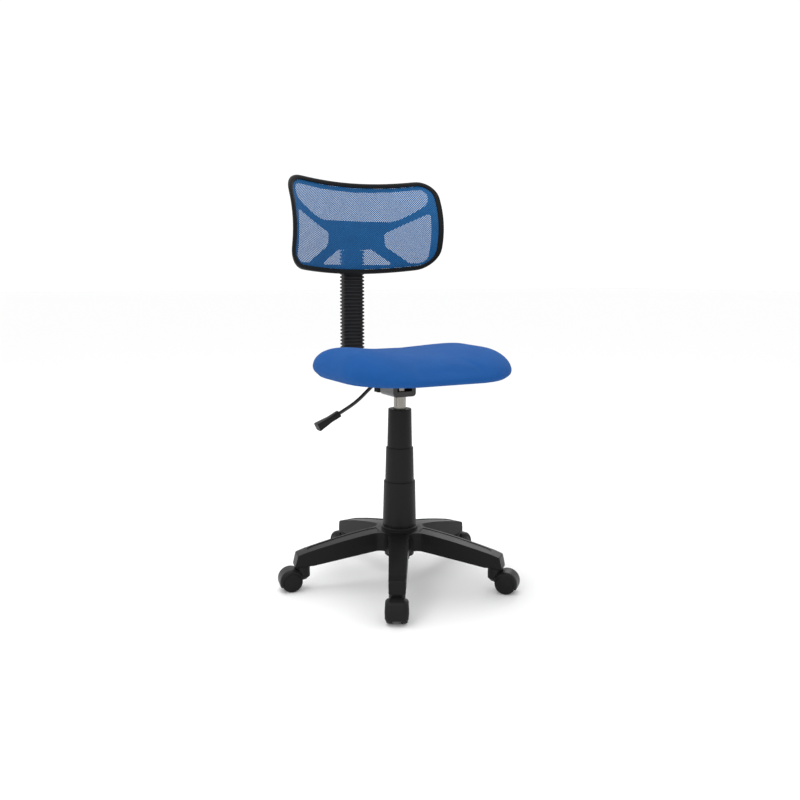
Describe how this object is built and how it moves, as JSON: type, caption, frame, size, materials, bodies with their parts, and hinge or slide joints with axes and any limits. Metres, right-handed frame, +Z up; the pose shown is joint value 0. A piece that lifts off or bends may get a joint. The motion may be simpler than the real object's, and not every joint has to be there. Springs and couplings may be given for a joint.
{
  "type": "swivel office chair",
  "caption": "Low-back swivel chair on casters: contoured pad, gas lift with telescoping cover, stretched mesh back on a sleeved bar.",
  "frame": {"origin": "on the floor, on the column's axis", "axes": "+Z up; the chair faces -Y, so the back is at +Y and the height lever is on -X"},
  "size_m": [0.546, 0.5375, 0.9341],
  "materials": {
    "nylon": "fine moulded grain, satin",
    "hood_plastic": "fine moulded grain, satin",
    "wheel_plastic": "smooth nylon tread",
    "cover_plastic": "fine moulded grain, satin",
    "painted_steel": "black powder coat",
    "housing_steel": "dark grey powder coat",
    "bright_steel": "ground and plated",
    "zinc_steel": "zinc plated",
    "bush_plastic": "moulded acetal",
    "brass_pin": "turned",
    "plywood": "birch plywood",
    "lining": "spun nonwoven",
    "seat_fabric": "blue knitted mesh over foam",
    "back_mesh": "open blue mesh, stretched",
    "bellows_rubber": "moulded soft plastic",
    "knob_plastic": "moulded",
    "frame_plastic": "moulded, satin"
  },
  "bodies": {
    "base": {"star_base": "nylon", "caster_stems": "zinc_steel", "gas_tube": "painted_steel", "guide_bush": "bush_plastic", "thrust_bearing": "zinc_steel", "cover_lower": "cover_plastic"},
    "middle_stage": {"cover_middle": "cover_plastic"},
    "rod": {"gas_rod": "bright_steel", "rod_clip": "zinc_steel"},
    "seat": {"gas_cylinder": "bright_steel", "cover_upper": "cover_plastic", "mechanism_housing": "housing_steel", "seat_plate": "painted_steel", "bar_bracket": "painted_steel", "lever_pin": "zinc_steel", "seat_bolts": "zinc_steel", "seat_nuts": "zinc_steel", "seat_board": "plywood", "seat_lining": "lining", "seat_cushion": "seat_fabric"},
    "button": {"release_button": "brass_pin"},
    "lever": {"lever_rod": "painted_steel", "lever_grip": "knob_plastic"},
    "bar": {"back_bar": "painted_steel", "bellows": "bellows_rubber"},
    "depth_clamp": {"depth_knob": "knob_plastic"},
    "back": {"back_carrier": "frame_plastic", "back_screws": "zinc_steel", "back_spider": "frame_plastic", "back_frame": "frame_plastic", "back_mesh": "back_mesh"},
    "height_clamp": {"height_knob": "knob_plastic"},
    "caster_1": {"caster_hood_1": "hood_plastic", "caster_axle_1": "zinc_steel"},
    "wheel_left_1": {"wheel_left_1": "wheel_plastic"},
    "wheel_right_1": {"wheel_right_1": "wheel_plastic"},
    "caster_2": {"caster_hood_2": "hood_plastic", "caster_axle_2": "zinc_steel"},
    "wheel_left_2": {"wheel_left_2": "wheel_plastic"},
    "wheel_right_2": {"wheel_right_2": "wheel_plastic"},
    "caster_3": {"caster_hood_3": "hood_plastic", "caster_axle_3": "zinc_steel"},
    "wheel_left_3": {"wheel_left_3": "wheel_plastic"},
    "wheel_right_3": {"wheel_right_3": "wheel_plastic"},
    "caster_4": {"caster_hood_4": "hood_plastic", "caster_axle_4": "zinc_steel"},
    "wheel_left_4": {"wheel_left_4": "wheel_plastic"},
    "wheel_right_4": {"wheel_right_4": "wheel_plastic"},
    "caster_5": {"caster_hood_5": "hood_plastic", "caster_axle_5": "zinc_steel"},
    "wheel_left_5": {"wheel_left_5": "wheel_plastic"},
    "wheel_right_5": {"wheel_right_5": "wheel_plastic"}
  },
  "joints": [
    {"name": "seat_swivel", "type": "hinge", "parent": "base", "child": "rod", "pos_m": [0, 0, 0], "axis": [0, 0, 1], "continuous": true},
    {"name": "lift", "type": "slide", "parent": "rod", "child": "seat", "axis": [0, 0, 1], "range_m": [-0.12, 0]},
    {"name": "middle_stage_slide", "type": "slide", "parent": "base", "child": "middle_stage", "axis": [0, 0, 1], "range_m": [-0.06, 0]},
    {"name": "height_lever", "type": "hinge", "parent": "seat", "child": "lever", "pos_m": [-0.02, 0, 0.4702], "axis": [0, 1, 0], "range_deg": [0, 6], "stiffness_Nm_per_rad": 1, "springref_deg": -5.73},
    {"name": "button_press", "type": "slide", "parent": "seat", "child": "button", "axis": [0, 0, 1], "range_m": [-0.003, 0]},
    {"name": "back_depth", "type": "slide", "parent": "seat", "child": "bar", "axis": [0, 1, 0], "range_m": [-0.02, 0.015]},
    {"name": "depth_knob_turn", "type": "hinge", "parent": "seat", "child": "depth_clamp", "pos_m": [0, 0.086, 0.44], "axis": [0, 0, 1], "range_deg": [0, 360]},
    {"name": "back_height", "type": "slide", "parent": "bar", "child": "back", "axis": [0, 0, 1], "range_m": [-0.05, 0], "deforming": ["bellows"]},
    {"name": "height_knob_turn", "type": "hinge", "parent": "back", "child": "height_clamp", "pos_m": [0, 0.27, 0.796], "axis": [0, 1, 0], "range_deg": [0, 360]},
    {"name": "caster_swivel_1", "type": "hinge", "parent": "base", "child": "caster_1", "pos_m": [-0.115, -0.19919, 0.05], "axis": [0, 0, 1], "continuous": true},
    {"name": "wheel_left_spin_1", "type": "hinge", "parent": "caster_1", "child": "wheel_left_1", "pos_m": [-0.128, -0.2217, 0.024], "axis": [0.866, -0.5, 0], "continuous": true},
    {"name": "wheel_right_spin_1", "type": "hinge", "parent": "caster_1", "child": "wheel_right_1", "pos_m": [-0.128, -0.2217, 0.024], "axis": [0.866, -0.5, 0], "continuous": true},
    {"name": "caster_swivel_2", "type": "hinge", "parent": "base", "child": "caster_2", "pos_m": [0.1539, -0.17092, 0.05], "axis": [0, 0, 1], "continuous": true},
    {"name": "wheel_left_spin_2", "type": "hinge", "parent": "caster_2", "child": "wheel_left_2", "pos_m": [0.1713, -0.19024, 0.024], "axis": [0.7431, 0.6691, 0], "continuous": true},
    {"name": "wheel_right_spin_2", "type": "hinge", "parent": "caster_2", "child": "wheel_right_2", "pos_m": [0.1713, -0.19024, 0.024], "axis": [0.7431, 0.6691, 0], "continuous": true},
    {"name": "caster_swivel_3", "type": "hinge", "parent": "base", "child": "caster_3", "pos_m": [0.21011, 0.09355, 0.05], "axis": [0, 0, 1], "continuous": true},
    {"name": "wheel_left_spin_3", "type": "hinge", "parent": "caster_3", "child": "wheel_left_3", "pos_m": [0.23387, 0.10412, 0.024], "axis": [-0.4067, 0.9135, 0], "continuous": true},
    {"name": "wheel_right_spin_3", "type": "hinge", "parent": "caster_3", "child": "wheel_right_3", "pos_m": [0.23387, 0.10412, 0.024], "axis": [-0.4067, 0.9135, 0], "continuous": true},
    {"name": "caster_swivel_4", "type": "hinge", "parent": "base", "child": "caster_4", "pos_m": [-0.02404, 0.22874, 0.05], "axis": [0, 0, 1], "continuous": true},
    {"name": "wheel_left_spin_4", "type": "hinge", "parent": "caster_4", "child": "wheel_left_4", "pos_m": [-0.02676, 0.2546, 0.024], "axis": [-0.9945, -0.1045, 0], "continuous": true},
    {"name": "wheel_right_spin_4", "type": "hinge", "parent": "caster_4", "child": "wheel_right_4", "pos_m": [-0.02676, 0.2546, 0.024], "axis": [-0.9945, -0.1045, 0], "continuous": true},
    {"name": "caster_swivel_5", "type": "hinge", "parent": "base", "child": "caster_5", "pos_m": [-0.22497, 0.04782, 0.05], "axis": [0, 0, 1], "continuous": true},
    {"name": "wheel_left_spin_5", "type": "hinge", "parent": "caster_5", "child": "wheel_left_5", "pos_m": [-0.25041, 0.05323, 0.024], "axis": [-0.2079, -0.9781, 0], "continuous": true},
    {"name": "wheel_right_spin_5", "type": "hinge", "parent": "caster_5", "child": "wheel_right_5", "pos_m": [-0.25041, 0.05323, 0.024], "axis": [-0.2079, -0.9781, 0], "continuous": true}
  ],
  "couplings": [
    {"joint": "middle_stage_slide", "follows": "lift", "ratio": 0.5},
    {"joint": "button_press", "follows": "height_lever", "m_per_rad": -0.0245}
  ]
}
